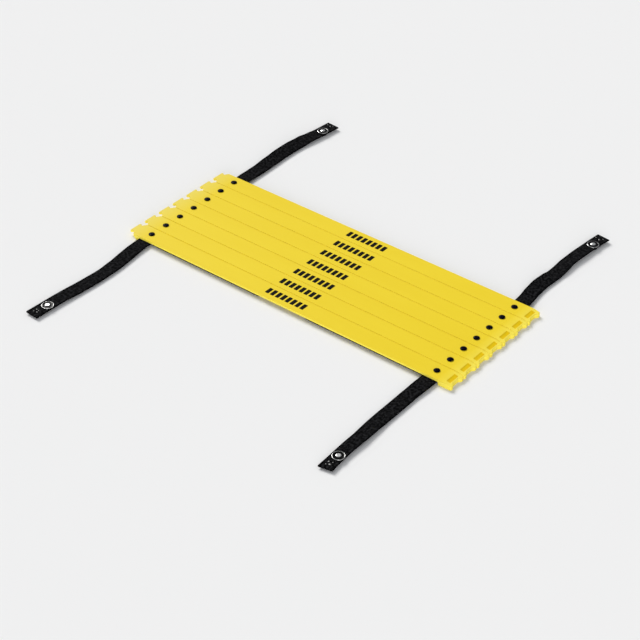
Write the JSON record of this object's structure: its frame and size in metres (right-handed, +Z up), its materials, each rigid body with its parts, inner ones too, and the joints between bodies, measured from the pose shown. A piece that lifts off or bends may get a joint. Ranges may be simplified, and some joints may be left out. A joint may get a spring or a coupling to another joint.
{
  "type": "agility ladder",
  "caption": "Flat agility ladder packed rung to rung: yellow moulded rungs riveted to two black webbing straps with press-stud tails.",
  "frame": {"origin": "on the floor under the middle of the pack of rungs", "axes": "+X along the rungs from the tab end to the slotted end, +Y to the back of the pack, +Z up"},
  "size_m": [0.485, 0.555, 0.0086],
  "materials": {
    "yellow_plastic": "injection-moulded polypropylene, satin",
    "black_nylon": "moulded nylon, satin",
    "black_webbing": "flat woven polypropylene webbing",
    "nickel": "nickel-plated brass"
  },
  "bodies": {
    "rung_1_set": {"rung_1": "yellow_plastic", "rivet_left_1": "black_nylon", "rivet_right_1": "black_nylon", "left_slack_1_2": "black_webbing", "right_slack_1_2": "black_webbing", "back_left_cap": "nickel", "back_left_socket": "nickel", "back_left_tail": "black_webbing", "back_right_cap": "nickel", "back_right_socket": "nickel", "back_right_tail": "black_webbing"},
    "rung_2_set": {"rung_2": "yellow_plastic", "rivet_left_2": "black_nylon", "rivet_right_2": "black_nylon", "left_strap_under_rung_2": "black_webbing", "right_strap_under_rung_2": "black_webbing", "left_slack_2_3": "black_webbing", "right_slack_2_3": "black_webbing"},
    "rung_3_set": {"rung_3": "yellow_plastic", "rivet_left_3": "black_nylon", "rivet_right_3": "black_nylon", "left_strap_under_rung_3": "black_webbing", "right_strap_under_rung_3": "black_webbing", "left_slack_3_4": "black_webbing", "right_slack_3_4": "black_webbing"},
    "rung_4_set": {"rung_4": "yellow_plastic", "rivet_left_4": "black_nylon", "rivet_right_4": "black_nylon", "left_strap_under_rung_4": "black_webbing", "right_strap_under_rung_4": "black_webbing"},
    "rung_5_set": {"rung_5": "yellow_plastic", "rivet_left_5": "black_nylon", "rivet_right_5": "black_nylon", "left_strap_under_rung_5": "black_webbing", "right_strap_under_rung_5": "black_webbing", "left_slack_4_5": "black_webbing", "right_slack_4_5": "black_webbing"},
    "rung_6_set": {"rung_6": "yellow_plastic", "rivet_left_6": "black_nylon", "rivet_right_6": "black_nylon", "left_strap_under_rung_6": "black_webbing", "right_strap_under_rung_6": "black_webbing", "left_slack_5_6": "black_webbing", "right_slack_5_6": "black_webbing"},
    "rung_7_set": {"rung_7": "yellow_plastic", "rivet_left_7": "black_nylon", "rivet_right_7": "black_nylon", "left_slack_6_7": "black_webbing", "right_slack_6_7": "black_webbing", "front_left_post": "nickel", "front_left_stud": "nickel", "front_left_tail": "black_webbing", "front_right_post": "nickel", "front_right_stud": "nickel", "front_right_tail": "black_webbing"}
  },
  "joints": [
    {"name": "rung_3_slide", "type": "slide", "parent": "rung_4_set", "child": "rung_3_set", "axis": [0, 1, 0], "range_m": [0, 0.3556], "deforming": ["left_slack_3_4", "right_slack_3_4"]},
    {"name": "rung_2_slide", "type": "slide", "parent": "rung_3_set", "child": "rung_2_set", "axis": [0, 1, 0], "range_m": [0, 0.3556], "deforming": ["left_slack_2_3", "right_slack_2_3"]},
    {"name": "rung_1_slide", "type": "slide", "parent": "rung_2_set", "child": "rung_1_set", "axis": [0, 1, 0], "range_m": [0, 0.3556], "deforming": ["left_slack_1_2", "right_slack_1_2"]},
    {"name": "rung_5_slide", "type": "slide", "parent": "rung_4_set", "child": "rung_5_set", "axis": [0, -1, 0], "range_m": [0, 0.3556], "deforming": ["left_slack_4_5", "right_slack_4_5"]},
    {"name": "rung_6_slide", "type": "slide", "parent": "rung_5_set", "child": "rung_6_set", "axis": [0, -1, 0], "range_m": [0, 0.3556], "deforming": ["left_slack_5_6", "right_slack_5_6"]},
    {"name": "rung_7_slide", "type": "slide", "parent": "rung_6_set", "child": "rung_7_set", "axis": [0, -1, 0], "range_m": [0, 0.3556], "deforming": ["left_slack_6_7", "right_slack_6_7"]}
  ]
}
